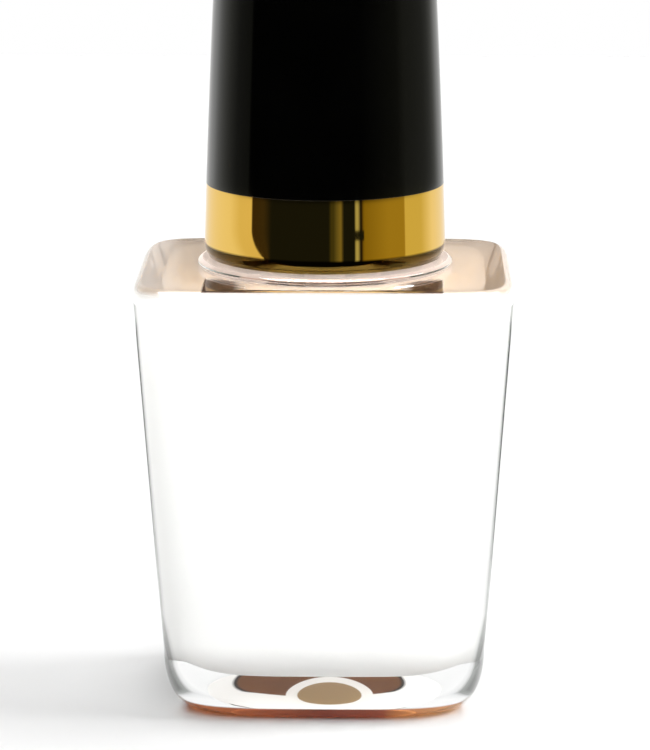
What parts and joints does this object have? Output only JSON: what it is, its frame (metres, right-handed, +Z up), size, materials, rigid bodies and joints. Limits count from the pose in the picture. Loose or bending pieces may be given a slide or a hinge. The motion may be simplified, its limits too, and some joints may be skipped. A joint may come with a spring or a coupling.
{
  "type": "nail polish bottle",
  "caption": "Rectangular clear glass bottle of white nail polish tapering to a rounded foot, closed by a tall black screw cap with a gold collar that carries the brush.",
  "frame": {"origin": "centre of the glass foot, on the surface the bottle stands on", "axes": "+Z up along the cap and neck axis, -Y towards the front, +X to the right seen from the front"},
  "size_m": [0.0338, 0.0276, 0.0885],
  "materials": {
    "clear_glass": "clear, fire-polished",
    "white_lacquer": "milky white liquid",
    "ball_steel": "bright stainless",
    "label_paper": "satin printed film, terracotta",
    "gasket_foam": "soft white foam",
    "stem_plastic": "natural polypropylene",
    "bristle_nylon": "dark nylon filaments",
    "inner_cap_plastic": "natural polypropylene",
    "black_gloss": "high gloss black",
    "polished_gold": "gold anodised, mirror polished"
  },
  "bodies": {
    "bottle": {"glass_bottle": "clear_glass", "lacquer": "white_lacquer", "mixing_ball_1": "ball_steel", "mixing_ball_2": "ball_steel", "base_label": "label_paper"},
    "seal": {"sealing_gasket": "gasket_foam"},
    "brush": {"brush_stem": "stem_plastic", "bristle_staple": "ball_steel", "bristle_tuft": "bristle_nylon"},
    "cap": {"inner_cap": "inner_cap_plastic", "overcap": "black_gloss", "gold_collar": "polished_gold"}
  },
  "joints": [
    {"name": "cap_lift", "type": "slide", "parent": "bottle", "child": "seal", "axis": [0, 0, 1], "range_m": [0, 0.06]},
    {"name": "thread_rise", "type": "slide", "parent": "seal", "child": "brush", "axis": [0, 0, 1], "range_m": [0, 0.0032]},
    {"name": "cap_spin", "type": "hinge", "parent": "brush", "child": "cap", "pos_m": [0, 0, 0.0535], "axis": [0, 0, 1], "range_deg": [0, 540]}
  ],
  "couplings": [
    {"joint": "thread_rise", "follows": "cap_spin", "m_per_rad": 0.00033687}
  ]
}
